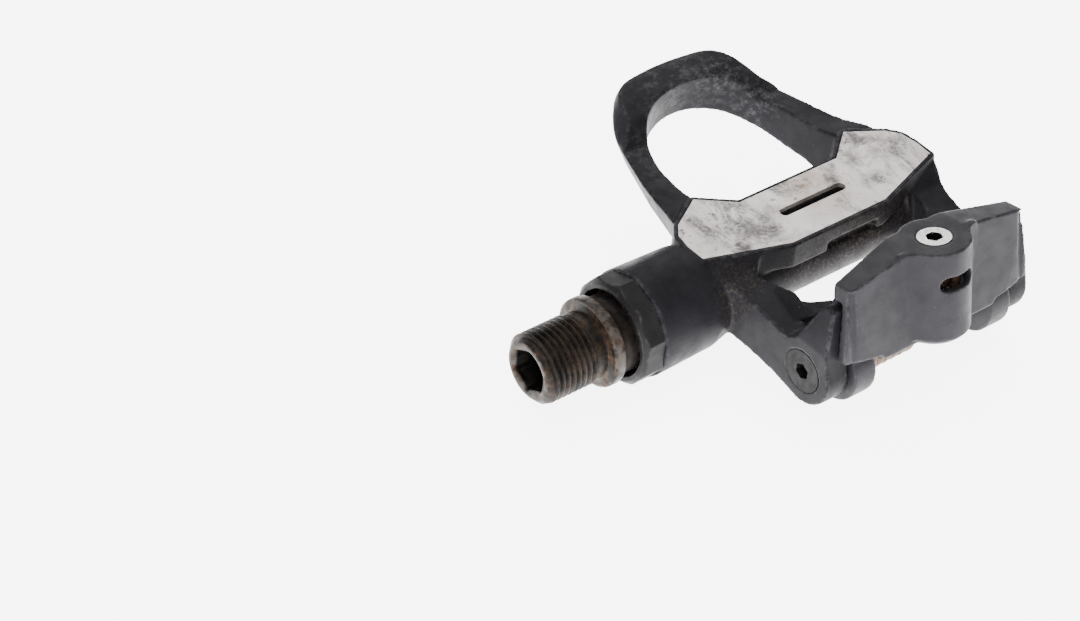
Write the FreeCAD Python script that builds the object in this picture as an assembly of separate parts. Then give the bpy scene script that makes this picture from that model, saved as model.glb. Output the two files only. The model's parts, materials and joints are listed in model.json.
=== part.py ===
import FreeCAD, Part
import math
import os

# Right-hand clipless road pedal, millimetres.
# Frame: X runs along the spindle, 0 at the crank shoulder, + outboard. +Y is the nose. +Z is the sole side.
V = FreeCAD.Vector
X_AXIS = V(1, 0, 0)
Z_AXIS = V(0, 0, 1)
RUN = 0.03  # radial clearance of a running fit
SLIP = 0.3  # clearance between moving pieces that don't bear on each other

# Overall places
BODY_MID_X = 55.0  # pedal centre line from the crank shoulder
HINGE_Y = -28.2  # jaw hinge behind the spindle
HINGE_Z = 0.0
NOSE_Y = 48.2

# Spindle, all along X
THREAD_R = 7.144  # 9/16 inch by 20 threads
THREAD_L = 14.0
THREAD_CHAMFER = 1.2
HEX_SOCKET_AF = 8.0
HEX_SOCKET_DEPTH = 8.5
FLANGE_R = 9.0
FLANGE_T = 2.4
SHANK_R = 7.9
SHANK_END = 8.6
SEAL_JOURNAL_R = 6.6
NEEDLE_JOURNAL_R = 6.0
CORE_R = 5.0
BALL_SEAT_R = 3.0

# Lock collar and seal
COLLAR_R = 11.0
COLLAR_SIDES = 10
COLLAR_X0 = 5.4
COLLAR_X1 = 10.2
COLLAR_MOUTH_R = 8.9
COLLAR_THREAD_R = 9.4
COLLAR_THREAD_END = 17.0
SEAL_X0 = 9.4
SEAL_W = 3.0
SEAL_R = 8.4

# Bearings
NEEDLE_X0 = 17.0
NEEDLE_L = 10.0
NEEDLE_R = 0.62
NEEDLE_COUNT = 26
NEEDLE_SHELL_R = 8.0
BALL_X0 = BODY_MID_X + 14.5
BALL_BEARING_W = 5.0
BALL_BEARING_R = 6.5
BALL_R = 1.15
BALL_COUNT = 8
SPACER_WALL = 0.8
WASHER_T = 0.6
NUT_H = 3.6
NUT_AF = 8.0

# Body
PLATE_Z = 10.5  # sole surface above the spindle axis
PLATE_T = 1.0
RIM = 0.9  # moulded rim round the plate
SLOT_R = 1.1
SLOT_HALF = 8.3
SLOT_FLOOR = 7.6
HOUSING_R = 11.0
HOUSING_MID_X = 24.0
HOUSING_MID_R = 10.6
HOUSING_X1 = 32.0
BARREL_R = 8.1
END_WALL = 2.6
END_GAP = 1.2  # beyond the spindle tip
SKIRT_Z = 4.8  # lower edge of the skirt behind the plate
ARM_INNER = 17.2
GUSSET_TIP = 11.4  # inner corner webs just in front of the jaw
GUSSET_BACK = HINGE_Y + 7.3
GUSSET_TOP = 4.2
SCOOP_R = 9.0
EAR_INNER = 21.0
EAR_OUTER = 26.2
EAR_R = 7.0
LOOP_TOP_Z = 15.0
LOOP_LOW_Z = 0.0

# Hinge and jaw; the jaw is drawn in its own frame (x, v forward, w up) about the pin
JAW_TILT = math.radians(12.0)
PIN_R = 3.0
PIN_HEAD_R = 4.4
PIN_HEAD_T = 2.4
PIN_THREAD_R = 2.0
PIN_THREAD_X = 11.0
PIN_HEX_AF = 3.0
KNUCKLE_R = 6.3
KNUCKLE_HEEL_R = 7.2  # the knuckle's fuller rear, about a point behind and below the pin
KNUCKLE_HEEL = (-1.1, -0.7)
KNUCKLE_IN = 15.0
KNUCKLE_OUT = 20.3
JAW_HALF = 23.7
JAW_TOP = 21.8
JAW_BACK = -9.6
JAW_LIP = -1.8
PANEL_T = 2.4
SCREW_V = -7.8
BUMP_R = 7.1
BUMP_LOW = 3.0
BUMP_BLEND_R = 4.0  # concave blend from the bump to the rear panel
BUMP_BORE_R = 5.6
CAVITY_TOP = 18.6
WINDOW_W = 15.0
RIB_GROOVE_R = 0.8

# Tension screw, nut and springs
SCREW_R = 2.5
SCREW_HEAD_R = 3.3
SCREW_HEAD_T = 1.7
SCREW_TIP = 5.4
SCREW_HEX_AF = 3.0
CLIP_T = 0.8
CLIP_GROOVE_R = 2.0
CLIP_R = 4.4
NUT_BACK = -10.2
NUT_FRONT = -4.7
NUT_HALF = 4.3
NUT_LOW = 11.4
NUT_HIGH = 16.4
WIRE_R = 0.95
COIL_R = 4.6
COIL_IN = 2.3
COIL_TURNS = 5  # whole turns
COIL_PITCH = 2.02
LEG_SEAT_Y = HINGE_Y + 9.4
LEG_BACK = 6.65  # upright leg behind the coil, clear of the nut
LEG_RISE = 5.4
LEG_UPRIGHT = 10.5


def cylinder(r, x0, x1, y=0.0, z=0.0):
    return Part.makeCylinder(r, x1 - x0, V(x0, y, z), X_AXIS)


def tube(r_out, r_in, x0, x1, y=0.0, z=0.0):
    return cylinder(r_out, x0, x1, y, z).cut(cylinder(r_in, x0 - 1, x1 + 1, y, z))


def cone(r0, r1, x0, x1):
    return Part.makeCone(r0, r1, x1 - x0, V(x0, 0, 0), X_AXIS)


def box(x0, x1, y0, y1, z0, z1):
    return Part.makeBox(x1 - x0, y1 - y0, z1 - z0, V(x0, y0, z0))


def closed_wire(points):
    return Part.makePolygon(list(points) + [points[0]])


def prism(points, along):
    return Part.Face(closed_wire(points)).extrude(along)


def prism_x(yz, x0, x1):
    return prism([V(x0, y, z) for y, z in yz], V(x1 - x0, 0, 0))


def prism_z(xy, z0, z1):
    return prism([V(x, y, z0) for x, y in xy], V(0, 0, z1 - z0))


def hexagon(across_flats, start, along, turn=0.0):
    """Hexagonal prism from start, along the vector along."""
    corner = across_flats / math.sqrt(3)
    points = []
    for k in range(6):
        a = math.radians(60 * k + turn)
        points.append(V(corner * math.cos(a), corner * math.sin(a), 0))
    solid = prism(points, V(0, 0, along.Length))
    solid.Placement = FreeCAD.Placement(start, FreeCAD.Rotation(Z_AXIS, along))
    return solid


def mirrored(half):
    """Close a half outline (x >= 0, listed from the middle out) about x = 0, moved to the body's middle."""
    left = [(-x, y) for x, y in reversed(half) if x > 0]
    return [(BODY_MID_X + x, y) for x, y in list(half) + left]


def both_sides(shape):
    """The shape and its mirror image about the pedal's middle plane, fused."""
    return shape.fuse(shape.mirror(V(BODY_MID_X, 0, 0), X_AXIS))


def one_solid(shape):
    shape = shape.removeSplitter()
    return max(shape.Solids, key=lambda s: s.Volume)


# ---------------------------------------------------------------- spindle and bearings
def spindle_end():
    return BALL_X0 + BALL_BEARING_W + WASHER_T + NUT_H + 1.5


def spindle():
    end = Part.makeCone(THREAD_R - THREAD_CHAMFER, THREAD_R, THREAD_CHAMFER, V(-THREAD_L, 0, 0), X_AXIS)
    thread = cylinder(THREAD_R, -THREAD_L + THREAD_CHAMFER, 0)
    shaft = end.fuse(thread)
    steps = [
        (FLANGE_R, 0, FLANGE_T),
        (SHANK_R, FLANGE_T, SHANK_END),
        (SEAL_JOURNAL_R, SHANK_END, NEEDLE_X0 - 1),
        (NEEDLE_JOURNAL_R, NEEDLE_X0 - 1, NEEDLE_X0 + NEEDLE_L + 1),
        (CORE_R, NEEDLE_X0 + NEEDLE_L + 1, BALL_X0),
        (BALL_SEAT_R, BALL_X0, spindle_end()),
    ]
    for r, x0, x1 in steps:
        shaft = shaft.fuse(cylinder(r, x0, x1))
    socket = hexagon(HEX_SOCKET_AF, V(-THREAD_L - 1, 0, 0), V(HEX_SOCKET_DEPTH + 1, 0, 0))
    return one_solid(shaft.cut(socket))


def bore_end():
    return spindle_end() + END_GAP


def lock_collar():
    points = []
    for k in range(COLLAR_SIDES):
        a = 2 * math.pi * (k + 0.5) / COLLAR_SIDES
        points.append(V(COLLAR_X0, COLLAR_R * math.cos(a), COLLAR_R * math.sin(a)))
    head = prism(points, V(COLLAR_X1 - COLLAR_X0, 0, 0))
    bevel = cone(COLLAR_R - 1.2, COLLAR_R + 0.3, COLLAR_X0, COLLAR_X0 + 1.5)
    bevel = bevel.fuse(cylinder(COLLAR_R + 0.3, COLLAR_X0 + 1.5, COLLAR_X1))
    head = head.common(bevel)
    collar = head.fuse(cylinder(COLLAR_THREAD_R, COLLAR_X1, COLLAR_THREAD_END))
    collar = collar.cut(cylinder(COLLAR_MOUTH_R, COLLAR_X0 - 1, SEAL_X0))
    collar = collar.cut(cylinder(SEAL_R, SEAL_X0 - 0.5, SEAL_X0 + SEAL_W))
    collar = collar.cut(cylinder(SEAL_JOURNAL_R + SLIP, SEAL_X0, COLLAR_THREAD_END + 1))
    return one_solid(collar)


def lip_seal():
    ring = tube(SEAL_R, SEAL_JOURNAL_R + RUN, SEAL_X0, SEAL_X0 + SEAL_W)
    groove = tube(SEAL_R - 0.5, SEAL_JOURNAL_R + 0.5, SEAL_X0 - 1, SEAL_X0 + 1)
    return one_solid(ring.cut(groove))


def roller_circle_r():
    return NEEDLE_JOURNAL_R + RUN + NEEDLE_R


def needle_bearing_shell():
    inner = roller_circle_r() + NEEDLE_R + RUN
    shell = tube(NEEDLE_SHELL_R, inner, NEEDLE_X0, NEEDLE_X0 + NEEDLE_L)
    lip_r = NEEDLE_JOURNAL_R + SLIP
    for x in (NEEDLE_X0, NEEDLE_X0 + NEEDLE_L - 0.6):
        shell = shell.fuse(tube(NEEDLE_SHELL_R, lip_r, x, x + 0.6))
    return one_solid(shell)


def needle_rollers():
    r = roller_circle_r()
    rollers = []
    for k in range(NEEDLE_COUNT):
        a = 2 * math.pi * k / NEEDLE_COUNT
        x0 = NEEDLE_X0 + 0.7
        rollers.append(cylinder(NEEDLE_R, x0, x0 + NEEDLE_L - 1.4, r * math.cos(a), r * math.sin(a)))
    return Part.makeCompound(rollers)


def ball_circle_r():
    return (BALL_SEAT_R + BALL_BEARING_R) / 2


def ball_groove():
    middle = V(BALL_X0 + BALL_BEARING_W / 2, 0, 0)
    return Part.makeTorus(ball_circle_r(), BALL_R + RUN, middle, X_AXIS)


def ball_bearing_inner_ring():
    ring = tube(ball_circle_r() - 0.6, BALL_SEAT_R, BALL_X0, BALL_X0 + BALL_BEARING_W)
    return one_solid(ring.cut(ball_groove()))


def ball_bearing_outer_ring():
    ring = tube(BALL_BEARING_R, ball_circle_r() + 0.6, BALL_X0, BALL_X0 + BALL_BEARING_W)
    return one_solid(ring.cut(ball_groove()))


def ball_places():
    r = ball_circle_r()
    x = BALL_X0 + BALL_BEARING_W / 2
    angles = [2 * math.pi * k / BALL_COUNT for k in range(BALL_COUNT)]
    return [V(x, r * math.cos(a), r * math.sin(a)) for a in angles]


def bearing_balls():
    return Part.makeCompound([Part.makeSphere(BALL_R, place) for place in ball_places()])


def ball_cage():
    r = ball_circle_r()
    x = BALL_X0 + BALL_BEARING_W / 2
    cage = tube(r + 0.3, r - 0.3, x - 1.55, x + 1.55)
    for place in ball_places():
        cage = cage.cut(Part.makeSphere(BALL_R + 0.06, place))
    return one_solid(cage)


def bearing_shields():
    r = ball_circle_r()
    shields = []
    for x in (BALL_X0 + 0.1, BALL_X0 + BALL_BEARING_W - 0.4):
        shields.append(tube(r + 0.6, r - 0.6 + 0.05, x, x + 0.3))
    return Part.makeCompound(shields)


def spacer_tube():
    x0 = NEEDLE_X0 + NEEDLE_L + 1.4
    return tube(BALL_BEARING_R, BALL_BEARING_R - SPACER_WALL, x0, BALL_X0)


def end_washer():
    x0 = BALL_X0 + BALL_BEARING_W
    return tube(BALL_SEAT_R + 0.9, BALL_SEAT_R, x0, x0 + WASHER_T)


def spindle_end_nut():
    x0 = BALL_X0 + BALL_BEARING_W + WASHER_T
    nut = hexagon(NUT_AF, V(x0, 0, 0), V(NUT_H, 0, 0))
    return one_solid(nut.cut(cylinder(BALL_SEAT_R, x0 - 1, x0 + NUT_H + 1)))


# ---------------------------------------------------------------- platform and body
PLATE_HALF = [(0, 7.1), (12.7, 7.1), (19.7, 12.7), (27.2, 8.3), (29.2, 5.8), (29.8, 2.2), (29.7, -2.0),
              (12.0, -7.8), (0, -7.8)]


def grown(half, by):
    """The half outline moved outwards by a distance, corner by corner."""
    out = []
    n = len(half)
    for i, (x, y) in enumerate(half):
        px, py = half[i - 1] if i > 0 else (-half[1][0], half[1][1])
        nx, ny = half[i + 1] if i < n - 1 else (-half[n - 2][0], half[n - 2][1])
        a = V(x - px, y - py, 0)
        b = V(nx - x, ny - y, 0)
        a.normalize()
        b.normalize()
        na = V(-a.y, a.x, 0)
        nb = V(-b.y, b.x, 0)
        mid = na + nb
        mid.normalize()
        reach = by / max(0.5, mid.dot(na))
        out.append((x + mid.x * reach, y + mid.y * reach))
    return out


def plate_slot(low):
    """Round-ended slot through the plate, cut down to a height."""
    half = SLOT_HALF - SLOT_R
    height = PLATE_Z + 1 - low
    slot = box(BODY_MID_X - half, BODY_MID_X + half, -SLOT_R, SLOT_R, low, low + height)
    for side in (-1, 1):
        slot = slot.fuse(Part.makeCylinder(SLOT_R, height, V(BODY_MID_X + side * half, 0, low)))
    return slot


def platform_plate():
    plate = prism_z(mirrored(PLATE_HALF), PLATE_Z - PLATE_T, PLATE_Z)
    return one_solid(plate.cut(plate_slot(PLATE_Z - 3)))


def loop_wire(side_points, nose_points, z):
    """Closed outline: straight sides, one smooth curve over the nose."""
    right = [V(BODY_MID_X + x, y, z) for x, y in side_points]
    left = [V(BODY_MID_X - x, y, z) for x, y in side_points]
    nose = [V(BODY_MID_X + x, y, z) for x, y in nose_points]
    nose_left = [V(BODY_MID_X - x, y, z) for x, y in reversed(nose_points) if x > 0]
    curve = Part.BSplineCurve()
    curve.interpolate([right[-1]] + nose + nose_left + [left[-1]])
    edges = [Part.LineSegment(a, b).toShape() for a, b in zip(right, right[1:])]
    edges.append(curve.toShape())
    back = list(reversed(left))
    edges += [Part.LineSegment(a, b).toShape() for a, b in zip(back, back[1:])]
    edges.append(Part.LineSegment(left[0], right[0]).toShape())
    return Part.Wire(edges)


def nose_loop():
    high_sides = [(29.6, 4.0), (28.6, 13.4), (26.2, 24.0), (22.6, 36.0)]
    high_nose = [(19.4, 41.4), (16.0, 44.6), (12.6, 46.9), (7.4, 48.1), (0, NOSE_Y + 0.4)]
    low_sides = [(26.0, 4.0), (22.2, 13.4), (19.6, 24.0), (16.4, 34.0)]
    low_nose = [(14.4, 38.0), (12.2, 40.2), (9.6, 42.0), (6.0, 43.2), (0, NOSE_Y - 4.4)]
    ring = Part.makeLoft(
        [loop_wire(high_sides, high_nose, LOOP_TOP_Z), loop_wire(low_sides, low_nose, LOOP_LOW_Z)], True
    )
    side_view = [(4, 9.6), (13, 9.6), (18, 8.5), (24, 8.1), (33.0, 8.4), (37.5, 12.2), (41, 13.2), (45.6, 14.0),
                 (48.7, 13.4), (50, 4.6), (42, 4.2), (34, 2.2), (26, 0.6), (16, 0.2), (4, 0.2)]
    ring = ring.common(prism_x(side_view, BODY_MID_X - 40, BODY_MID_X + 40))
    # The nose cap's flanks fall away from its crest.
    crest_sides = [(34.0, 4.0), (30.0, 20.0), (15.6, 31.0), (13.2, 36.8)]
    crest_nose = [(13.7, 41.0), (12.7, 44.0), (11.0, 45.4), (7.0, 46.6), (0, 47.2)]
    foot_sides = [(34.0, 4.0), (27.6, 20.0), (22.2, 30.0), (20.1, 36.0)]
    foot_nose = [(18.9, 40.8), (16.6, 44.2), (13.2, 46.7), (8.0, 48.3), (0, NOSE_Y + 0.6)]
    roof = Part.makeLoft(
        [loop_wire(crest_sides, crest_nose, LOOP_TOP_Z), loop_wire(foot_sides, foot_nose, 8.0)], True
    )
    ring = ring.common(roof.fuse(box(0, 120, 0, 60, -5, 8.0)))
    in_high_sides = [(12.2, 8.0), (19.9, 14.2), (19.2, 20.0), (18.2, 26.0)]
    in_high_nose = [(15.2, 32.6), (12.2, 36.2), (8.2, 38.6), (4.0, 39.6), (0, 39.9)]
    in_low_sides = [(12.2, 8.0), (16.6, 12.2), (16.4, 18.0), (15.8, 25.0)]
    in_low_nose = [(14.0, 31.2), (11.8, 35.6), (8.6, 39.4), (4.6, 41.8), (0, 42.8)]
    hole = Part.makeLoft(
        [loop_wire(in_high_sides, in_high_nose, LOOP_TOP_Z + 1), loop_wire(in_low_sides, in_low_nose, -1.0)], True
    )
    return ring.cut(hole)


def deck():
    """The block under the plate, its raised rim, and the end blocks that widen from spindle to plate."""
    outline = grown(PLATE_HALF, RIM)
    top = prism_z(mirrored(outline), SKIRT_Z, PLATE_Z)
    end_top = [(19.0, 9.0), (21.0, 13.4), (27.9, 9.0), (30.1, 6.2), (30.6, 2.4), (30.5, -2.5), (19.0, -6.3)]
    end_low = [(19.0, 6.0), (21.0, 9.0), (25.5, 7.0), (26.6, 5.0), (27.0, 2.0), (27.0, -9.0), (21.0, -9.5)]
    high = closed_wire([V(BODY_MID_X + x, y, PLATE_Z) for x, y in end_top])
    low = closed_wire([V(BODY_MID_X + x, y, -4.0) for x, y in end_low])
    return top.fuse(both_sides(Part.makeLoft([high, low], True)))


def arm():
    """One arm from the end block back to its hinge ear, on the outboard side."""
    plan = [(ARM_INNER + 3.8, 2.0), (30.2, 2.0), (30.2, -3.0), (28.6, -7.0), (27.6, -10.0), (26.9, -15.0),
            (EAR_OUTER, HINGE_Y + 4.2), (EAR_OUTER, HINGE_Y - 7.8), (EAR_INNER, HINGE_Y - 7.8),
            (EAR_INNER, GUSSET_BACK), (GUSSET_TIP, GUSSET_BACK), (GUSSET_TIP, GUSSET_BACK + 1.7),
            (GUSSET_TIP + 2.4, GUSSET_BACK + 2.7), (ARM_INNER - 1.4, GUSSET_BACK + 3.9), (ARM_INNER, -15.0), (ARM_INNER + 3.1, -11.0), (ARM_INNER + 3.8, -8.6)]
    c = math.cos(JAW_TILT)
    s = math.sin(JAW_TILT)
    back = [(-6.7, 14.4), (-6.7, 4.0), (-7.0, 0.0)]
    back_yz = [(HINGE_Y + v * c + w * s, HINGE_Z - v * s + w * c) for v, w in back]
    side = [(2.0, 9.4), (-3.4, 9.4), (-5.4, 8.8), (-7.4, 7.4), (-10.0, 7.0), (-15.0, 6.4), (-20.4, 5.5)]
    ear = [(5.0, 5.0), (3.4, 5.9), (1.4, 10.4), (-0.2, 14.6), (-1.3, 16.0), (-2.4, 15.9)]
    side += [(HINGE_Y + y, z) for y, z in ear]
    side += back_yz
    side += [(HINGE_Y, -EAR_R), (HINGE_Y + 3.7, -6.4), (-20.0, -5.3), (-14.0, -4.3), (-9.0, -3.6), (2.0, -4.2)]
    shape = prism_z([(BODY_MID_X + x, y) for x, y in plan], -20, 30)
    shape = shape.common(prism_x(side, BODY_MID_X + 10, BODY_MID_X + 40))
    boss = cylinder(EAR_R, BODY_MID_X + EAR_INNER, BODY_MID_X + EAR_OUTER, HINGE_Y, HINGE_Z)
    # The ear's upper part leans in towards the jaw.
    front = HINGE_Y + 4.2
    lean = prism([V(BODY_MID_X + EAR_OUTER + 1, front, 7.0), V(BODY_MID_X + EAR_OUTER, front, 7.0),
                  V(BODY_MID_X + 23.9, front, 17.0), V(BODY_MID_X + EAR_OUTER + 1, front, 17.0)], V(0, -14, 0))
    # A shallow scoop runs along the arm's upper face and stops at the foot of the ear.
    scoop_start = V(BODY_MID_X + 19.8, -3.0, 18.6)
    scoop_end = V(BODY_MID_X + 18.0, HINGE_Y + 4.8, 12.8)
    scoop_run = scoop_end - scoop_start
    scoop = Part.makeCylinder(SCOOP_R, scoop_run.Length, scoop_start, scoop_run)
    low = BODY_MID_X + GUSSET_TIP - 1
    gusset_top = box(low, BODY_MID_X + ARM_INNER, GUSSET_BACK - 1, GUSSET_BACK + 8, GUSSET_TOP, 30)
    return shape.fuse(boss).cut(lean).cut(scoop).cut(gusset_top)


def body_frame():
    housing = cone(HOUSING_R, HOUSING_MID_R, COLLAR_X1, HOUSING_MID_X)
    housing = housing.fuse(cone(HOUSING_MID_R, BARREL_R, HOUSING_MID_X, HOUSING_X1 + 3))
    barrel = cylinder(BARREL_R, HOUSING_X1, bore_end() + END_WALL)
    boss = cylinder(BARREL_R + 1.0, BODY_MID_X + ARM_INNER + 4, bore_end() + END_WALL)
    body = deck().fuse([nose_loop(), both_sides(arm()), housing, barrel, boss])
    # Skirt step behind the plate and the pockets between barrel and arms
    body = body.cut(box(BODY_MID_X - 3, BODY_MID_X + 10, -9.5, -6.6, SKIRT_Z - 1, PLATE_Z - 3.4))
    body = body.cut(prism_z(mirrored(PLATE_HALF), PLATE_Z - PLATE_T, PLATE_Z + 1))
    body = body.cut(plate_slot(SLOT_FLOOR))
    # Spindle bore, stepped from the collar's seat to the closed outboard end
    body = body.cut(cylinder(COLLAR_THREAD_R, 0, COLLAR_THREAD_END))
    body = body.cut(cylinder(NEEDLE_SHELL_R, 0, NEEDLE_X0 + NEEDLE_L))
    body = body.cut(cylinder(BALL_BEARING_R, 0, BALL_X0 + BALL_BEARING_W))
    body = body.cut(cylinder(BALL_BEARING_R - 0.8, 0, bore_end()))
    # Hinge pin bore, head seats and the spring hooks' holes
    low = BODY_MID_X - EAR_OUTER
    high = BODY_MID_X + EAR_OUTER
    body = body.cut(cylinder(PIN_R, low - 1, high + 1, HINGE_Y, HINGE_Z))
    body = body.cut(cylinder(PIN_HEAD_R, low - 1, low + PIN_HEAD_T, HINGE_Y, HINGE_Z))
    body = body.cut(cylinder(PIN_HEAD_R, high - PIN_HEAD_T, high + 1, HINGE_Y, HINGE_Z))
    for side in (-1, 1):
        seat = V(BODY_MID_X + side * coil_end(), LEG_SEAT_Y, HINGE_Z - COIL_R)
        body = body.cut(Part.makeCylinder(WIRE_R, 6, seat, V(0, -1, 0)))
    return one_solid(body)


# ---------------------------------------------------------------- hinge pin
def hinge_pin():
    low = BODY_MID_X - EAR_OUTER
    pin = cylinder(PIN_HEAD_R, low, low + PIN_HEAD_T, HINGE_Y, HINGE_Z)
    pin = pin.fuse(cylinder(PIN_R, low, BODY_MID_X + PIN_THREAD_X, HINGE_Y, HINGE_Z))
    pin = pin.fuse(cylinder(PIN_THREAD_R, low, BODY_MID_X + EAR_OUTER - 5, HINGE_Y, HINGE_Z))
    socket = hexagon(PIN_HEX_AF, V(low - 1, HINGE_Y, HINGE_Z), V(1 + 1.9, 0, 0))
    return one_solid(pin.cut(socket))


def hinge_pin_nut():
    high = BODY_MID_X + EAR_OUTER
    nut = cylinder(PIN_HEAD_R, high - PIN_HEAD_T, high, HINGE_Y, HINGE_Z)
    nut = nut.fuse(cylinder(PIN_R, BODY_MID_X + PIN_THREAD_X, high, HINGE_Y, HINGE_Z))
    nut = nut.cut(cylinder(PIN_THREAD_R, BODY_MID_X, high - 4.5, HINGE_Y, HINGE_Z))
    socket = hexagon(PIN_HEX_AF, V(high + 1, HINGE_Y, HINGE_Z), V(-1 - 1.9, 0, 0))
    return one_solid(nut.cut(socket))


def jaw_washers():
    washers = []
    for side in (-1, 1):
        x = BODY_MID_X + side * (KNUCKLE_OUT + EAR_INNER) / 2
        washers.append(tube(PIN_R + 2.6, PIN_R, x - 0.3, x + 0.3, HINGE_Y, HINGE_Z))
    return Part.makeCompound(washers)


# ---------------------------------------------------------------- rear jaw, drawn upright about the pin
def placed(shape):
    """Turn a jaw piece from its upright frame to its closed position on the pin."""
    turn = FreeCAD.Rotation(X_AXIS, -math.degrees(JAW_TILT))
    shape.Placement = FreeCAD.Placement(V(BODY_MID_X, HINGE_Y, HINGE_Z), turn).multiply(shape.Placement)
    return shape


def screw_cylinder(r, w0, w1):
    return Part.makeCylinder(r, w1 - w0, V(0, SCREW_V, w0))


def bump_blend(side):
    """Concave blend between the bump's flank and the jaw's rear panel, on one side."""
    panel = JAW_BACK + 0.4
    centre_v = panel - BUMP_BLEND_R
    drop = SCREW_V - centre_v
    centre_x = math.sqrt((BUMP_R + BUMP_BLEND_R) ** 2 - drop ** 2)
    last = math.atan2(drop, -centre_x)
    points = [(side * 3.0, panel + 0.4), (side * centre_x, panel + 1.4)]
    steps = 6
    for k in range(steps + 1):
        a = math.pi / 2 + (last - math.pi / 2) * k / steps
        points.append((side * (centre_x + BUMP_BLEND_R * math.cos(a)), centre_v + BUMP_BLEND_R * math.sin(a)))
    return prism_z(points, BUMP_LOW, JAW_TOP)


def rear_jaw():
    section = [(JAW_LIP, JAW_TOP), (JAW_LIP, 20.2), (-4.6, 17.4), (-4.6, 8.0), (-5.6, 4.4), (-6.4, 1.8),
               (JAW_BACK - 0.2, 1.8), (JAW_BACK + 0.6, JAW_TOP)]
    block = prism_x(section, -JAW_HALF, JAW_HALF)
    plan = [(6.0, JAW_LIP), (22.9, -4.7), (JAW_HALF, -5.6), (JAW_HALF, -9.0), (7.4, -11.0)]
    plan += [(-x, v) for x, v in reversed(plan)]
    block = block.common(prism_z(plan, -20, 40))
    # Below the head the jaw is only a rear panel outside the knuckles, so that it clears the ears.
    for side in (-1, 1):
        x0, x1 = sorted((side * KNUCKLE_OUT, side * (JAW_HALF + 1)))
        block = block.cut(box(x0, x1, JAW_BACK + 2.6, 5, -10, 16.1))
    # The head falls away towards both ends.
    for side in (-1, 1):
        slope = prism([V(side * 7.0, -20, JAW_TOP), V(side * 26.0, -20, JAW_TOP - 3.0), V(side * 26.0, -20, 30),
                       V(side * 7.0, -20, 30)], V(0, 30, 0))
        block = block.cut(slope)
        low_corner = prism([V(side * 12.0, -20, 0.0), V(side * 15.0, -20, 2.9), V(side * JAW_HALF, -20, 4.2),
                            V(side * 26.0, -20, 4.4), V(side * 26.0, -20, 0.0)], V(0, 30, 0))
        block = block.cut(low_corner)
    for side in (-1, 1):
        taper = prism([V(side * JAW_HALF, -20, 4.0), V(side * (JAW_HALF - 2.6), -20, 30), V(side * 30, -20, 30),
                       V(side * 30, -20, 4.0)], V(0, 30, 0))
        block = block.cut(taper)
        x0, x1 = sorted((side * KNUCKLE_IN, side * KNUCKLE_OUT))
        cheek = prism_x([(-6.1, 0), (-7.6, 2.4), (-7.6, 18.6), (-5.2, 18.6), (4.7, 4.4), (6.0, 0)], x0, x1)
        heel = cylinder(KNUCKLE_HEEL_R, x0, x1, *KNUCKLE_HEEL)
        block = block.fuse([cylinder(KNUCKLE_R, x0, x1), cheek, heel])
    bump = screw_cylinder(BUMP_R, BUMP_LOW, JAW_TOP)
    bump = bump.fuse(Part.makeCone(BUMP_R - 1.2, BUMP_R, 1.2, V(0, SCREW_V, BUMP_LOW - 1.2)))
    block = block.fuse([bump, bump_blend(-1), bump_blend(1)])
    # Hollow for the springs, the nut's bore, the indicator window and the screw's seat
    block = block.cut(box(-KNUCKLE_IN, KNUCKLE_IN, JAW_BACK + PANEL_T, 8, -10, 7.4))
    block = block.cut(screw_cylinder(BUMP_BORE_R, -5, CAVITY_TOP))
    block = block.cut(screw_cylinder(SCREW_R + 0.05, 10, 30))
    block = block.cut(screw_cylinder(SCREW_HEAD_R + 0.05, JAW_TOP - SCREW_HEAD_T, 30))
    window_r = 1.5
    window_half = 2.4
    window = box(-window_half, window_half, -20, SCREW_V, WINDOW_W - window_r, WINDOW_W + window_r)
    for side in (-1, 1):
        window = window.fuse(Part.makeCylinder(window_r, 20 + SCREW_V, V(side * window_half, -20, WINDOW_W), V(0, 1, 0)))
    block = block.cut(window)
    # Grooves that set off the end ribs
    for side in (-1, 1):
        block = block.cut(Part.makeCylinder(RIB_GROOVE_R, 16.6, V(side * 21.8, -9.85, 2.6), V(0, 0.045, 1)))
    block = block.cut(cylinder(PIN_R + RUN, -30, 30))
    return placed(one_solid(block))


def tension_screw():
    head = screw_cylinder(SCREW_HEAD_R, JAW_TOP - SCREW_HEAD_T, JAW_TOP)
    shank = screw_cylinder(SCREW_R, SCREW_TIP, JAW_TOP)
    screw = head.fuse(shank)
    groove_top = CAVITY_TOP - 0.05
    ring = screw_cylinder(SCREW_R + 1, groove_top - CLIP_T, groove_top)
    screw = screw.cut(ring.cut(screw_cylinder(CLIP_GROOVE_R, 0, 30)))
    socket = hexagon(SCREW_HEX_AF, V(0, SCREW_V, JAW_TOP + 1), V(0, 0, -1 - 1.5))
    return placed(one_solid(screw.cut(socket)))


def screw_clip():
    top = CAVITY_TOP - 0.05
    clip = screw_cylinder(CLIP_R, top - CLIP_T, top).cut(screw_cylinder(CLIP_GROOVE_R, 0, 30))
    gap = box(-1.6, 1.6, SCREW_V, SCREW_V + 8, 10, 25)
    return placed(one_solid(clip.cut(gap)))


def tension_nut():
    nut = box(-NUT_HALF, NUT_HALF, NUT_BACK, NUT_FRONT, NUT_LOW, NUT_HIGH)
    nut = nut.common(screw_cylinder(BUMP_BORE_R - 0.1, NUT_LOW, NUT_HIGH))
    return placed(one_solid(nut.cut(screw_cylinder(SCREW_R + RUN, 0, 30))))


def coil_turns():
    """From the upright leg behind the pin, whole turns and on to the pin's lowest point."""
    return COIL_TURNS + 0.25 + math.degrees(JAW_TILT) / 360


def coil_end():
    return COIL_IN + COIL_PITCH * coil_turns()


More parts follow.
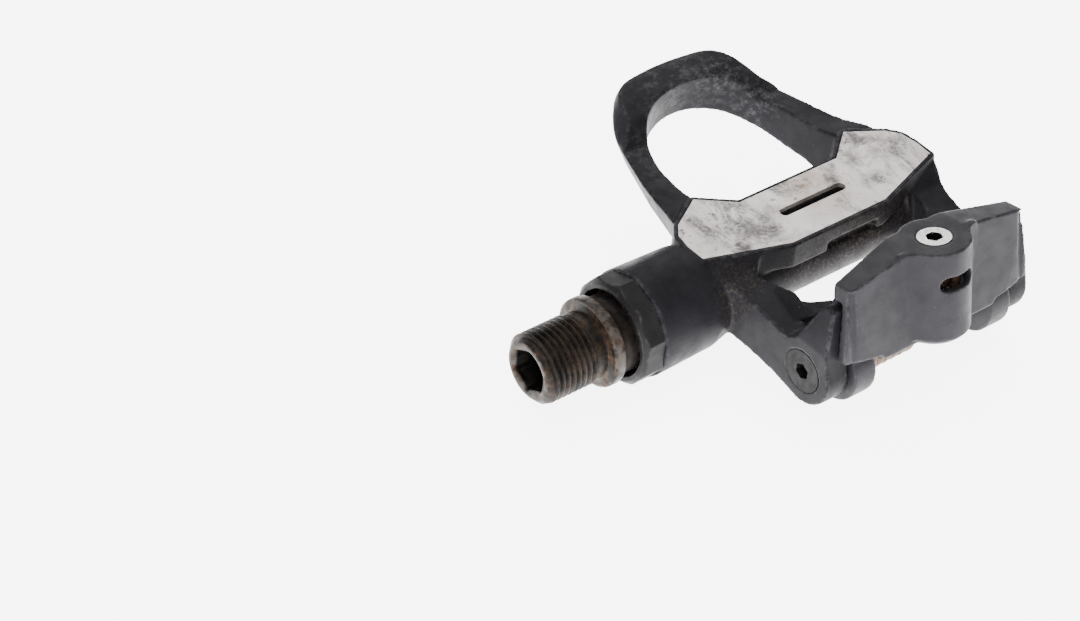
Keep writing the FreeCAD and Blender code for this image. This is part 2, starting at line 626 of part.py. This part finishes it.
def torsion_spring():
    """Outboard spring: coil round the pin, one leg up behind the nut, the other forward into the arm's web."""
    c = math.cos(JAW_TILT)
    s = math.sin(JAW_TILT)
    helix = Part.makeHelix(COIL_PITCH, COIL_PITCH * coil_turns(), COIL_R)
    start = V(COIL_R, 0, 0)
    rise = V(0, 2 * math.pi * COIL_R, COIL_PITCH)
    section = Part.Wire([Part.Circle(start, rise, WIRE_R).toShape()])
    coil = Part.Wire(helix).makePipeShell([section], True, True)
    coil.rotate(V(0, 0, 0), V(0, 1, 0), 90)
    coil.rotate(V(0, 0, 0), X_AXIS, 270 - math.degrees(JAW_TILT))
    coil.translate(V(BODY_MID_X + COIL_IN, HINGE_Y, HINGE_Z))
    first = V(BODY_MID_X + COIL_IN, HINGE_Y - COIL_R * c, HINGE_Z + COIL_R * s)
    bend = first + V(0, -LEG_BACK * c + LEG_RISE * s, LEG_BACK * s + LEG_RISE * c)
    tip = bend + V(0, LEG_UPRIGHT * s, LEG_UPRIGHT * c)
    last = V(BODY_MID_X + coil_end(), HINGE_Y, HINGE_Z - COIL_R)
    seat = V(last.x, LEG_SEAT_Y, last.z)
    for a, b in ((first, bend), (bend, tip), (last, seat)):
        run = b - a
        coil = coil.fuse(Part.makeCylinder(WIRE_R, run.Length, a, run))
    for corner in (first, bend, last):
        coil = coil.fuse(Part.makeSphere(WIRE_R, corner))
    return one_solid(coil)


def torsion_spring_inboard():
    return torsion_spring().mirror(V(BODY_MID_X, 0, 0), X_AXIS)


PIECES = {
    "spindle": spindle,
    "lock_collar": lock_collar,
    "lip_seal": lip_seal,
    "needle_bearing_shell": needle_bearing_shell,
    "needle_rollers": needle_rollers,
    "spacer_tube": spacer_tube,
    "ball_bearing_inner_ring": ball_bearing_inner_ring,
    "ball_bearing_outer_ring": ball_bearing_outer_ring,
    "bearing_balls": bearing_balls,
    "ball_cage": ball_cage,
    "bearing_shields": bearing_shields,
    "end_washer": end_washer,
    "spindle_end_nut": spindle_end_nut,
    "body_frame": body_frame,
    "platform_plate": platform_plate,
    "hinge_pin": hinge_pin,
    "hinge_pin_nut": hinge_pin_nut,
    "jaw_washers": jaw_washers,
    "rear_jaw": rear_jaw,
    "torsion_spring_inboard": torsion_spring_inboard,
    "torsion_spring_outboard": torsion_spring,
    "tension_screw": tension_screw,
    "screw_clip": screw_clip,
    "tension_nut": tension_nut,
}

os.makedirs("parts", exist_ok=True)
for name, make in PIECES.items():
    shape = make()
    size = shape.BoundBox
    print(name, len(shape.Solids), shape.isValid(), round(shape.Volume, 1),
          [round(v, 1) for v in (size.XMin, size.XMax, size.YMin, size.YMax, size.ZMin, size.ZMax)])
    shape.exportStep("parts/" + name + ".step")
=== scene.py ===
import json
import math
import bpy
import bmesh
from mathutils import Matrix, Vector

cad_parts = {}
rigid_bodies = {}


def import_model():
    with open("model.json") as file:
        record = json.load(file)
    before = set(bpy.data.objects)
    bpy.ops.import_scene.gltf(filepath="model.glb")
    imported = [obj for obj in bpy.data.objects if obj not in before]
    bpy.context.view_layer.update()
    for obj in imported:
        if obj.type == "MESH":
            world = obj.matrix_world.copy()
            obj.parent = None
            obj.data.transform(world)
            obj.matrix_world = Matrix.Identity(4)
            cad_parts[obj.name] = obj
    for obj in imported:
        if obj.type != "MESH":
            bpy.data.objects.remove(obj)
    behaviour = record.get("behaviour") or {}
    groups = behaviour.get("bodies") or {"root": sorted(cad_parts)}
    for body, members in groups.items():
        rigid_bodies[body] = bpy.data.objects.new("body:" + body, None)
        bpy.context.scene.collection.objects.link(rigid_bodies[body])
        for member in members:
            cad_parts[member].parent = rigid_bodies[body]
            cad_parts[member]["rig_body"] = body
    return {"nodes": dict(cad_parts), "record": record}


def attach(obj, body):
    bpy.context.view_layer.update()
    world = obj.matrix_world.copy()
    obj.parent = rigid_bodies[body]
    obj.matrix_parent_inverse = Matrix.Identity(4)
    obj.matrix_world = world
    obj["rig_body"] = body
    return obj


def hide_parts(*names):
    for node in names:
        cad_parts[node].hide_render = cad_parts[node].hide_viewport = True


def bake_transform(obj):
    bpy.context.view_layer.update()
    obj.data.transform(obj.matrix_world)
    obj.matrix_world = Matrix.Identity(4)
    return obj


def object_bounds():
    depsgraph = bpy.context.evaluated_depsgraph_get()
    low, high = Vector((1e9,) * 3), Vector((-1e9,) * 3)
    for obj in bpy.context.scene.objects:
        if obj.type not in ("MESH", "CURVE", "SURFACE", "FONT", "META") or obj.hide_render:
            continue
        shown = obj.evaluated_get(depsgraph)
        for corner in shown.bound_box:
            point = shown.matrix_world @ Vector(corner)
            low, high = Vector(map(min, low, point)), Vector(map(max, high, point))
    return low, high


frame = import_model()
first_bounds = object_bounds()
MM = 0.001
FLOOR_GLOW = 6.0  # a lit table, as white as the studio sweep behind the pedal


# ---------------------------------------------------------------- node helpers
class Shade:
    """One procedural material: nodes are added with short calls and joined by socket name."""

    def __init__(self, name):
        self.mat = bpy.data.materials.new(name)
        self.mat.use_nodes = True
        self.tree = self.mat.node_tree
        self.bsdf = self.tree.nodes["Principled BSDF"]
        self.coords = self.tree.nodes.new("ShaderNodeTexCoord").outputs["Object"]

    def link(self, value, socket):
        if isinstance(value, bpy.types.NodeSocket):
            self.tree.links.new(value, socket)
        else:
            socket.default_value = value

    def scaled(self, stretch):
        node = self.tree.nodes.new("ShaderNodeMapping")
        node.inputs["Scale"].default_value = stretch
        self.link(self.coords, node.inputs["Vector"])
        return node.outputs["Vector"]

    def noise(self, scale, detail=4.0, rough=0.6, vector=None, distortion=0.0):
        node = self.tree.nodes.new("ShaderNodeTexNoise")
        self.link(vector or self.coords, node.inputs["Vector"])
        node.inputs["Scale"].default_value = scale
        node.inputs["Detail"].default_value = detail
        node.inputs["Roughness"].default_value = rough
        node.inputs["Distortion"].default_value = distortion
        return node.outputs["Fac"]

    def voronoi(self, scale):
        node = self.tree.nodes.new("ShaderNodeTexVoronoi")
        self.link(self.coords, node.inputs["Vector"])
        node.inputs["Scale"].default_value = scale
        return node.outputs["Distance"]

    def ramp(self, value, low, high, out_low=0.0, out_high=1.0):
        node = self.tree.nodes.new("ShaderNodeMapRange")
        node.interpolation_type = "SMOOTHSTEP"
        self.link(value, node.inputs["Value"])
        node.inputs["From Min"].default_value = low
        node.inputs["From Max"].default_value = high
        node.inputs["To Min"].default_value = out_low
        node.inputs["To Max"].default_value = out_high
        return node.outputs["Result"]

    def math(self, kind, a, b=0.0):
        node = self.tree.nodes.new("ShaderNodeMath")
        node.operation = kind
        self.link(a, node.inputs[0])
        self.link(b, node.inputs[1])
        return node.outputs[0]

    def mix(self, factor, a, b):
        node = self.tree.nodes.new("ShaderNodeMix")
        node.data_type = "RGBA"
        self.link(factor, node.inputs["Factor"])
        self.link(a, node.inputs[6])
        self.link(b, node.inputs[7])
        return node.outputs[2]

    def axis(self, which):
        node = self.tree.nodes.new("ShaderNodeSeparateXYZ")
        self.link(self.coords, node.inputs[0])
        return node.outputs[which]

    def off_axis(self):
        """Distance from the spindle's axis."""
        y = self.axis(1)
        z = self.axis(2)
        return self.math("SQRT", self.math("ADD", self.math("MULTIPLY", y, y), self.math("MULTIPLY", z, z)))

    def near(self, centre, radius, soft):
        """1 inside a sphere about a point (mm), fading to 0 over soft."""
        node = self.tree.nodes.new("ShaderNodeVectorMath")
        node.operation = "DISTANCE"
        self.link(self.coords, node.inputs[0])
        node.inputs[1].default_value = [c * MM for c in centre]
        return self.ramp(node.outputs["Value"], radius * MM, (radius + soft) * MM, 1.0, 0.0)

    def attribute(self, name):
        node = self.tree.nodes.new("ShaderNodeAttribute")
        node.attribute_name = name
        return node.outputs["Fac"]

    def finish(self, colour, rough, metal=0.0, bump=None, strength=0.3, distance=0.0001, spec=None):
        self.link(colour, self.bsdf.inputs["Base Color"])
        self.link(rough, self.bsdf.inputs["Roughness"])
        self.link(metal, self.bsdf.inputs["Metallic"])
        if spec is not None:
            self.link(spec, self.bsdf.inputs["Specular IOR Level"])
        if bump is not None:
            node = self.tree.nodes.new("ShaderNodeBump")
            node.inputs["Strength"].default_value = strength
            node.inputs["Distance"].default_value = distance
            self.link(bump, node.inputs["Height"])
            self.link(node.outputs["Normal"], self.bsdf.inputs["Normal"])
        return self.mat


def rgb(r, g, b):
    return (r, g, b, 1.0)


# ---------------------------------------------------------------- materials
def nylon(name, dark, light, dust_amount, spots=(), spec=0.16):
    s = Shade(name)
    cloud = s.ramp(s.noise(90, 5), 0.35, 0.7)
    colour = s.mix(cloud, dark, light)
    # Raised edges are lightened in patches: painted edge highlights, not a colour of the nylon.
    edge = s.ramp(s.attribute("edge"), 0.3, 0.95)
    edge = s.math("MULTIPLY", edge, s.ramp(s.noise(500, 6, 0.7), 0.42, 0.72))
    colour = s.mix(s.math("MULTIPLY", edge, 0.5), colour, rgb(0.075, 0.075, 0.08))
    specks = s.ramp(s.voronoi(900), 0.05, 0.16, 1.0, 0.0)
    specks = s.math("MULTIPLY", specks, s.ramp(s.noise(240, 3), 0.52, 0.66))
    colour = s.mix(s.math("MULTIPLY", specks, 0.5 * dust_amount), colour, rgb(0.12, 0.11, 0.10))
    hollow = s.ramp(s.attribute("hollow"), 0.2, 0.9)
    dust = s.math("MULTIPLY", hollow, s.ramp(s.noise(160, 6, 0.7), 0.42, 0.7))
    colour = s.mix(s.math("MULTIPLY", dust, 0.3 * dust_amount), colour, rgb(0.05, 0.042, 0.034))
    for centre, radius, soft, tint, amount, grain in spots:
        area = s.near(centre, radius, soft)
        area = s.math("MULTIPLY", area, s.ramp(s.noise(grain, 8, 0.75), 0.46, 0.66))
        colour = s.mix(s.math("MULTIPLY", area, amount), colour, tint)
    scratches = s.noise(60, 2, 0.5, s.scaled((1.0, 14.0, 14.0)))
    rough = s.ramp(s.noise(320, 4), 0.3, 0.75, 0.40, 0.58)
    grain = s.math("ADD", s.noise(2600, 2), s.math("MULTIPLY", scratches, 0.6))
    return s.finish(colour, rough, 0.0, grain, 0.24, 0.00008, spec)


PLATE_STAINS = [
    ((34.0, -3.6, 10.5), 0.8, 2.0, 0.95),
    ((39.5, -1.0, 10.5), 1.5, 4.5, 0.65),
    ((45.5, 1.5, 10.5), 0.6, 4.0, 0.5),
    ((62.5, 2.6, 10.5), 0.5, 2.0, 0.95),
    ((70.5, -2.2, 10.5), 0.5, 3.0, 0.85),
    ((75.5, 9.0, 10.5), 0.6, 2.8, 0.85),
    ((78.0, 5.0, 10.5), 1.2, 4.5, 0.6),
    ((70.0, 5.5, 10.5), 0.8, 3.2, 0.65),
]


def plate_steel():
    s = Shade("plate_steel")
    base = s.mix(s.ramp(s.noise(45, 5, 0.6), 0.3, 0.7), rgb(0.42, 0.385, 0.365), rgb(0.62, 0.575, 0.55))
    smudge = s.ramp(s.noise(110, 10, 0.78, s.scaled((1.0, 0.6, 1.0)), 1.2), 0.46, 0.62)
    smudge = s.math("MULTIPLY", smudge, s.ramp(s.noise(42, 4), 0.40, 0.58, 0.15, 1.0))
    grit = s.ramp(s.noise(1300, 4, 0.7), 0.36, 0.6, 0.45, 1.0)
    smudge = s.math("MULTIPLY", smudge, grit)
    colour = s.mix(s.math("MULTIPLY", smudge, 0.95), base, rgb(0.085, 0.08, 0.082))
    for centre, radius, soft, amount in PLATE_STAINS:
        stain = s.math("MULTIPLY", s.near(centre, radius, soft), s.ramp(s.noise(380, 8, 0.78), 0.38, 0.56))
        colour = s.mix(s.math("MULTIPLY", stain, amount), colour, rgb(0.04, 0.036, 0.033))
    tan = s.math("MULTIPLY", s.near((57.5, 3.2, 10.5), 2.0, 7.0), s.ramp(s.noise(130, 6, 0.7), 0.38, 0.6))
    colour = s.mix(s.math("MULTIPLY", tan, 0.6), colour, rgb(0.24, 0.145, 0.08))
    pits = s.ramp(s.noise(640, 4, 0.65), 0.60, 0.70)
    colour = s.mix(s.math("MULTIPLY", pits, 0.85), colour, rgb(0.05, 0.043, 0.038))
    fine = s.noise(1500, 2, 0.5, s.scaled((1.0, 0.12, 1.0)))
    rough = s.ramp(s.noise(150, 6, 0.7), 0.3, 0.7, 0.34, 0.52)
    return s.finish(colour, rough, 0.45, s.math("SUBTRACT", fine, pits), 0.15, 0.00004)


def spindle_steel():
    s = Shade("spindle_steel")
    x = s.axis(0)
    patches = s.ramp(s.noise(260, 6, 0.7), 0.35, 0.65)
    dark = s.mix(patches, rgb(0.005, 0.0046, 0.0042), rgb(0.020, 0.0165, 0.0142))
    rust = s.ramp(s.noise(230, 9, 0.75, None, 0.6), 0.42, 0.57)
    zone = s.math("MAXIMUM", s.ramp(x, -0.0045, 0.0, 0.4, 1.0), s.ramp(x, -0.0139, -0.0128, 0.75, 0.2))
    zone = s.math("MULTIPLY", zone, s.ramp(x, 0.0024, 0.0032, 1.0, 0.12))
    rust = s.math("MULTIPLY", rust, zone)
    rust_grain = s.ramp(s.noise(900, 4), 0.4, 0.6)
    rust_colour = s.mix(rust_grain, rgb(0.020, 0.0115, 0.007), rgb(0.062, 0.036, 0.021))
    colour = s.mix(s.math("MULTIPLY", rust, 0.85), dark, rust_colour)
    # Raised crests go lighter: rubbed-bare metal, and also painted crest highlights.
    bare_and_glint = s.math("MULTIPLY", s.ramp(s.attribute("edge"), 0.35, 0.8), s.ramp(s.noise(420, 5), 0.42, 0.62))
    colour = s.mix(s.math("MULTIPLY", bare_and_glint, 0.45), colour, rgb(0.11, 0.102, 0.096))
    # The hex socket's inside is painted near-black as shade, and loses its metallic and specular sheen.
    socket_shade = s.math("MULTIPLY", s.ramp(s.off_axis(), 0.0046, 0.0050, 1.0, 0.0), s.ramp(x, -0.0139, -0.0132))
    colour = s.mix(s.math("MULTIPLY", socket_shade, 0.85), colour, rgb(0.003, 0.003, 0.003))
    rough = s.ramp(s.noise(350, 5), 0.35, 0.65, 0.28, 0.55)
    bump = s.noise(1500, 6, 0.7)
    outside = s.math("SUBTRACT", 1.0, socket_shade)
    metallic = s.math("MULTIPLY", outside, 0.08)
    specular = s.math("MULTIPLY", outside, 0.09)
    return s.finish(colour, rough, metallic, bump, 0.4, 0.0001, specular)


def metal(name, dark, light, rough_low, rough_high, metallic=1.0, scale=300, grain=0.15,
          spec=None, socket=None):
    s = Shade(name)
    colour = s.mix(s.ramp(s.noise(scale, 6, 0.65), 0.35, 0.68), dark, light)
    if socket is not None:
        # The socket's inside is painted near-black as shade, and loses its metal.
        socket_shade = s.near(*socket)
        colour = s.mix(socket_shade, colour, rgb(0.004, 0.004, 0.004))
        metallic = s.math("MULTIPLY", s.math("SUBTRACT", 1.0, socket_shade), metallic)
    rough = s.ramp(s.noise(scale * 1.7, 4), 0.3, 0.7, rough_low, rough_high)
    return s.finish(colour, rough, metallic, s.noise(scale * 6, 3), grain, 0.00004, spec)


def floor_paper():
    s = Shade("floor_paper")
    colour = s.mix(s.noise(20, 3), rgb(0.93, 0.93, 0.935), rgb(0.95, 0.95, 0.95))
    s.link(rgb(1.0, 1.0, 1.0), s.bsdf.inputs["Emission Color"])
    s.link(FLOOR_GLOW, s.bsdf.inputs["Emission Strength"])
    return s.finish(colour, 0.9, 0.0, s.noise(900, 2), 0.03, 0.0001)


CHALK = rgb(0.13, 0.13, 0.138)
TAN = rgb(0.07, 0.057, 0.044)
BODY_SPOTS = [
    ((55.0, 41.0, 12.0), 6.0, 9.0, CHALK, 0.3, 480),
    ((70.0, 33.5, 7.5), 1.5, 7.0, CHALK, 0.5, 620),
    ((64.0, 39.5, 11.5), 2.0, 6.0, CHALK, 0.5, 760),
    ((30.0, -7.5, 4.0), 3.0, 6.0, TAN, 0.6, 1300),
    ((55.0, -6.0, 3.0), 8.0, 9.0, TAN, 0.7, 1500),
    ((68.0, -6.0, 3.0), 5.0, 6.0, TAN, 0.6, 1500),
    ((39.0, 30.0, 8.0), 2.0, 9.0, CHALK, 0.22, 900),
]
SCREW_SOCKET_SHADE = ((55.0, -31.55, 21.77), 1.85, 0.1)  # painted shade in the tension screw's hex socket: centre, radius, fade
MATERIALS = {
    "body_nylon": nylon("body_nylon", rgb(0.0096, 0.0090, 0.0110), rgb(0.0172, 0.0163, 0.0192), 1.0,
                        BODY_SPOTS, 0.06),
    "jaw_nylon": nylon("jaw_nylon", rgb(0.0190, 0.0178, 0.0212), rgb(0.0265, 0.0250, 0.0292), 0.5, (), 0.11),
    "collar_nylon": nylon("collar_nylon", rgb(0.0088, 0.0082, 0.0088), rgb(0.0155, 0.0146, 0.0146), 1.0,
                          (), 0.09),
    "washer_nylon": nylon("washer_nylon", rgb(0.02, 0.02, 0.02), rgb(0.035, 0.035, 0.035), 0.4),
    "seal_rubber": nylon("seal_rubber", rgb(0.012, 0.012, 0.012), rgb(0.02, 0.02, 0.02), 0.6),
    "plate_steel": plate_steel(),
    "spindle_steel": spindle_steel(),
    "black_steel": metal("black_steel", rgb(0.004, 0.004, 0.0044), rgb(0.010, 0.010, 0.0108), 0.45, 0.65,
                         0.0, 420, 0.3, 0.1),
    "bearing_steel": metal("bearing_steel", rgb(0.42, 0.42, 0.43), rgb(0.6, 0.6, 0.61), 0.2, 0.35),
    "spacer_aluminium": metal("spacer_aluminium", rgb(0.5, 0.5, 0.51), rgb(0.65, 0.65, 0.66), 0.3, 0.45),
    "cage_brass": metal("cage_brass", rgb(0.45, 0.33, 0.15), rgb(0.62, 0.47, 0.22), 0.3, 0.45),
    "spring_steel": metal("spring_steel", rgb(0.035, 0.02, 0.012), rgb(0.14, 0.09, 0.058), 0.35, 0.6,
                          0.6, 420, 0.3),
    "screw_zinc": metal("screw_zinc", rgb(0.34, 0.34, 0.33), rgb(0.6, 0.6, 0.585), 0.22, 0.4, 0.9, 500,
                        socket=SCREW_SOCKET_SHADE),
    "nut_brass": metal("nut_brass", rgb(0.12, 0.06, 0.03), rgb(0.30, 0.17, 0.09), 0.35, 0.55, 0.5, 500),
}


# ---------------------------------------------------------------- mesh helpers
def new_object(name, bm):
    mesh = bpy.data.meshes.new(name)
    bm.to_mesh(mesh)
    bm.free()
    obj = bpy.data.objects.new(name, mesh)
    bpy.context.scene.collection.objects.link(obj)
    return obj


def smooth(mesh, angle_deg=40):
    for polygon in mesh.polygons:
        polygon.use_smooth = True
    mesh.set_sharp_from_angle(angle=math.radians(angle_deg))


def applied(obj):
    """Turn the object's modifiers into its mesh."""
    graph = bpy.context.evaluated_depsgraph_get()
    mesh = bpy.data.meshes.new_from_object(obj.evaluated_get(graph))
    obj.modifiers.clear()
    obj.data = mesh
    return obj


def curvature_marks(mesh, reach):
    """Per-vertex 'edge' (raised) and 'hollow' (sunken) marks: how far a vertex stands off its neighbours."""
    count = len(mesh.vertices)
    total = [Vector((0, 0, 0)) for _ in range(count)]
    number = [0] * count
    for edge in mesh.edges:
        a, b = edge.vertices
        total[a] += mesh.vertices[b].co
        total[b] += mesh.vertices[a].co
        number[a] += 1
        number[b] += 1
    height = [0.0] * count
    for v in mesh.vertices:
        if number[v.index]:
            offset = total[v.index] / number[v.index] - v.co
            height[v.index] = -offset.dot(v.normal)
    for _ in range(3):
        spread = [0.0] * count
        for edge in mesh.edges:
            a, b = edge.vertices
            spread[a] += height[b]
            spread[b] += height[a]
        height = [0.5 * h + 0.5 * t / max(1, n) for h, t, n in zip(height, spread, number)]
    edge_mark = mesh.attributes.new("edge", "FLOAT", "POINT")
    hollow_mark = mesh.attributes.new("hollow", "FLOAT", "POINT")
    edge_mark.data.foreach_set("value", [min(1.0, max(0.0, h / reach)) for h in height])
    hollow_mark.data.foreach_set("value", [min(1.0, max(0.0, -h / reach)) for h in height])


def moulded(node, voxel, passes, ratio):
    """A rounded copy of a CAD node, standing for it: voxel skin, smoothing, then thinning."""
    source = frame["nodes"][node]
    obj = bpy.data.objects.new(node + "_moulded", source.data.copy())
    bpy.context.scene.collection.objects.link(obj)
    remesh = obj.modifiers.new("skin", "REMESH")
    remesh.mode = "VOXEL"
    remesh.voxel_size = voxel * MM
    remesh.adaptivity = 0.0
    soften = obj.modifiers.new("soften", "SMOOTH")
    soften.factor = 0.5
    soften.iterations = passes
    applied(obj)
    curvature_marks(obj.data, voxel * MM * 0.05)
    if ratio < 1:
        thin = obj.modifiers.new("thin", "DECIMATE")
        thin.ratio = ratio
        applied(obj)
    for polygon in obj.data.polygons:
        polygon.use_smooth = True
    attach(obj, source["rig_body"])
    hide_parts(node)
    return obj


def wound(node):
    """A jaw spring: a smooth-shaded copy of the CAD node, baked to the world and standing for it."""
    source = frame["nodes"][node]
    obj = bpy.data.objects.new(node + "_wound", source.data.copy())
    bpy.context.scene.collection.objects.link(obj)
    smooth(obj.data, 30)
    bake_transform(obj)
    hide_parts(node)
    return obj


def paint(obj, slot):
    obj.data.materials.clear()
    obj.data.materials.append(MATERIALS[slot])


# ---------------------------------------------------------------- detailed spindle
THREAD_R = 7.144
THREAD_PITCH = 1.27
THREAD_DEPTH = 0.72
THREAD_TO = -2.2  # the thread runs out here, before the flange
CREST_SHARE = 0.12  # flat crest, as a share of half a pitch
FLANK_SHARE = 0.72
RUNOUT = 1.2
RELIEF_DEPTH = 0.35  # undercut between thread and flange
RELIEF_RAMP = 0.8
CHAMFER_X = -12.7
CHAMFER_SLOPE = 1.05
PROFILE_STEP = 0.085
ROUND = 128  # points round the spindle

# Hex socket in the threaded end
END_X = -14.0
HEX_HALF_FLAT = 4.0
HEX_CORNER_R = 4.56  # the hexagon's corners are cut by this circle
MOUTH_R = 4.85
HEX_X = -13.65  # foot of the mouth's chamfer
HEX_BOTTOM_X = -5.6
HEX_POINT_X = -4.2  # tip of the drilled bottom


def thread_radius(x, angle):
    """Radius of the threaded end at a place along it and round it, mm."""
    phase = ((x - THREAD_PITCH * angle / (2 * math.pi)) / THREAD_PITCH) % 1.0
    flank = abs(phase - 0.5) * 2
    groove = min(1.0, max(0.0, (flank - CREST_SHARE) / FLANK_SHARE))
    depth = THREAD_DEPTH * (1 - groove)
    fade = min(1.0, max(0.0, (THREAD_TO - x) / RUNOUT))
    relief = RELIEF_DEPTH * min(1.0, max(0.0, (x - THREAD_TO + RELIEF_RAMP) / RELIEF_RAMP))
    chamfer = max(0.0, (CHAMFER_X - x)) * CHAMFER_SLOPE
    return min(THREAD_R - depth * fade - relief, THREAD_R - chamfer)


# Spindle outline past the thread, (x, radius) in mm: flange, shank, then the journals and the ball seat
FLANGE_OUTLINE = [(-0.3, 6.9), (-0.05, 7.3), (0.0, 8.1), (0.02, 8.55), (0.28, 8.93), (0.7, 9.0), (1.9, 9.0),
                  (2.25, 8.9), (2.4, 8.6), (2.42, 8.1)]
SHANK_OUTLINE = [(2.6, 7.92), (4.0, 7.9), (7.8, 7.9), (8.5, 7.85), (8.6, 7.5)]
JOURNAL_OUTLINE = [(8.6, 6.6), (16.0, 6.6), (16.0, 6.0), (28.0, 6.0), (28.0, 5.0), (69.5, 5.0), (69.5, 3.0),
                   (80.0, 3.0), (80.2, 2.7)]


def spindle_profile():
    """(x, radius) stations along the spindle; the thread's radius is None, because it changes round the axis."""
    profile = []
    x = END_X
    while x < -0.35:
        profile.append((x, None))
        x += PROFILE_STEP
    return profile + FLANGE_OUTLINE + SHANK_OUTLINE + JOURNAL_OUTLINE


def ring_point(bm, x, radius, angle):
    return bm.verts.new(Vector((x, radius * math.cos(angle), radius * math.sin(angle))) * MM)


def spindle_visual():
    bm = bmesh.new()
    rings = []
    for x, r in spindle_profile():
        ring = []
        for k in range(ROUND):
            a = 2 * math.pi * k / ROUND
            radius = thread_radius(x, a) if r is None else r
            ring.append(ring_point(bm, x, radius, a))
        rings.append(ring)
    for first, second in zip(rings, rings[1:]):
        for k in range(ROUND):
            n = (k + 1) % ROUND
            bm.faces.new((first[k], second[k], second[n], first[n]))
    bm.faces.new(rings[-1])
    # The socket's mouth is chamfered to a circle
    mouth = []
    deep = []
    floor_ring = []
    for k in range(ROUND):
        a = 2 * math.pi * k / ROUND
        side = (a + math.pi / 6) % (math.pi / 3) - math.pi / 6
        hexagon = min(HEX_HALF_FLAT / math.cos(side), HEX_CORNER_R)
        mouth.append(ring_point(bm, END_X, MOUTH_R, a))
        deep.append(ring_point(bm, HEX_X + 0.25 * (HEX_CORNER_R - hexagon), hexagon, a))
        floor_ring.append(ring_point(bm, HEX_BOTTOM_X, hexagon, a))
    centre = bm.verts.new(Vector((HEX_POINT_X, 0, 0)) * MM)
    for k in range(ROUND):
        n = (k + 1) % ROUND
        bm.faces.new((rings[0][n], mouth[n], mouth[k], rings[0][k]))
        bm.faces.new((mouth[n], deep[n], deep[k], mouth[k]))
        bm.faces.new((deep[n], floor_ring[n], floor_ring[k], deep[k]))
        bm.faces.new((floor_ring[n], centre, floor_ring[k]))
    bmesh.ops.recalc_face_normals(bm, faces=bm.faces)
    obj = new_object("spindle_visual", bm)
    curvature_marks(obj.data, 0.00004)
    smooth(obj.data, 55)
    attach(obj, "spindle")
    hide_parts("spindle")
    return obj


# ---------------------------------------------------------------- dress every node
SLOTS = {part["node"]: part["material_slot"] for part in frame["record"]["subparts"]}
paint(spindle_visual(), SLOTS["spindle"])
paint(moulded("body_frame", 0.3, 10, 0.32), SLOTS["body_frame"])
paint(moulded("rear_jaw", 0.25, 12, 0.35), SLOTS["rear_jaw"])
paint(moulded("lock_collar", 0.2, 4, 0.5), SLOTS["lock_collar"])
paint(wound("torsion_spring_outboard"), SLOTS["torsion_spring_outboard"])
paint(wound("torsion_spring_inboard"), SLOTS["torsion_spring_inboard"])
for name, node in frame["nodes"].items():
    if not node.hide_render:
        smooth(node.data, 30)
        paint(node, SLOTS[name])


# ---------------------------------------------------------------- floor, light and camera
FLOOR_GAP = 0.0004
FLOOR_HALF = 1.5
FLOOR_STEPS = 12


def floor():
    bm = bmesh.new()
    low = first_bounds[0][2] - FLOOR_GAP
    grid = []
    for i in range(FLOOR_STEPS + 1):
        row = []
        for j in range(FLOOR_STEPS + 1):
            x = -FLOOR_HALF + 2 * FLOOR_HALF * i / FLOOR_STEPS
            y = -FLOOR_HALF + 2 * FLOOR_HALF * j / FLOOR_STEPS
            row.append(bm.verts.new((x, y, low)))
        grid.append(row)
    for i in range(FLOOR_STEPS):
        for j in range(FLOOR_STEPS):
            bm.faces.new((grid[i][j], grid[i + 1][j], grid[i + 1][j + 1], grid[i][j + 1]))
    obj = new_object("floor", bm)
    obj.data.materials.append(floor_paper())
    return obj


def area_light(name, place, target, size, power):
    light = bpy.data.lights.new(name, "AREA")
    light.shape = "RECTANGLE"
    light.size = size[0]
    light.size_y = size[1]
    light.energy = power
    obj = bpy.data.objects.new(name, light)
    obj.location = place
    aim = Vector(target) - Vector(place)
    obj.rotation_euler = aim.to_track_quat("-Z", "Y").to_euler()
    bpy.context.scene.collection.objects.link(obj)
    return obj


MIDDLE = (0.045, 0.0, 0.0)
stage_pieces = [
    floor(),
    area_light("overhead", (0.02, 0.05, 0.75), MIDDLE, (1.3, 1.3), 11.0),
    area_light("left_front", (-0.55, -0.45, 0.32), MIDDLE, (0.5, 0.4), 2.4),
    area_light("right_back", (0.45, 0.5, 0.42), MIDDLE, (0.5, 0.35), 2.4),
]
world = bpy.data.worlds.new("studio")
world.use_nodes = True
world.node_tree.nodes["Background"].inputs["Color"].default_value = (1, 1, 1, 1)
world.node_tree.nodes["Background"].inputs["Strength"].default_value = 0.16
bpy.context.scene.world = world

# Camera: its axes in the pedal's frame, from the two pedals' common perspective
RIGHT = Vector((0.79052, -0.60896, 0.06512))
DOWN = Vector((-0.36328, -0.55187, -0.75065))
FORWARD = Vector((0.49305, 0.56975, -0.65749))
CAMERA_PLACE = Vector((-0.2586, -0.28462, 0.34268))
camera_data = bpy.data.cameras.new("camera")
camera_data.sensor_width = 36.0
camera_data.lens = 91.87
camera_data.clip_start = 0.01
camera = bpy.data.objects.new("camera", camera_data)
turn = Matrix((RIGHT, -DOWN, -FORWARD)).transposed().to_4x4()
camera.matrix_world = Matrix.Translation(CAMERA_PLACE) @ turn
bpy.context.scene.collection.objects.link(camera)
bpy.context.scene.camera = camera
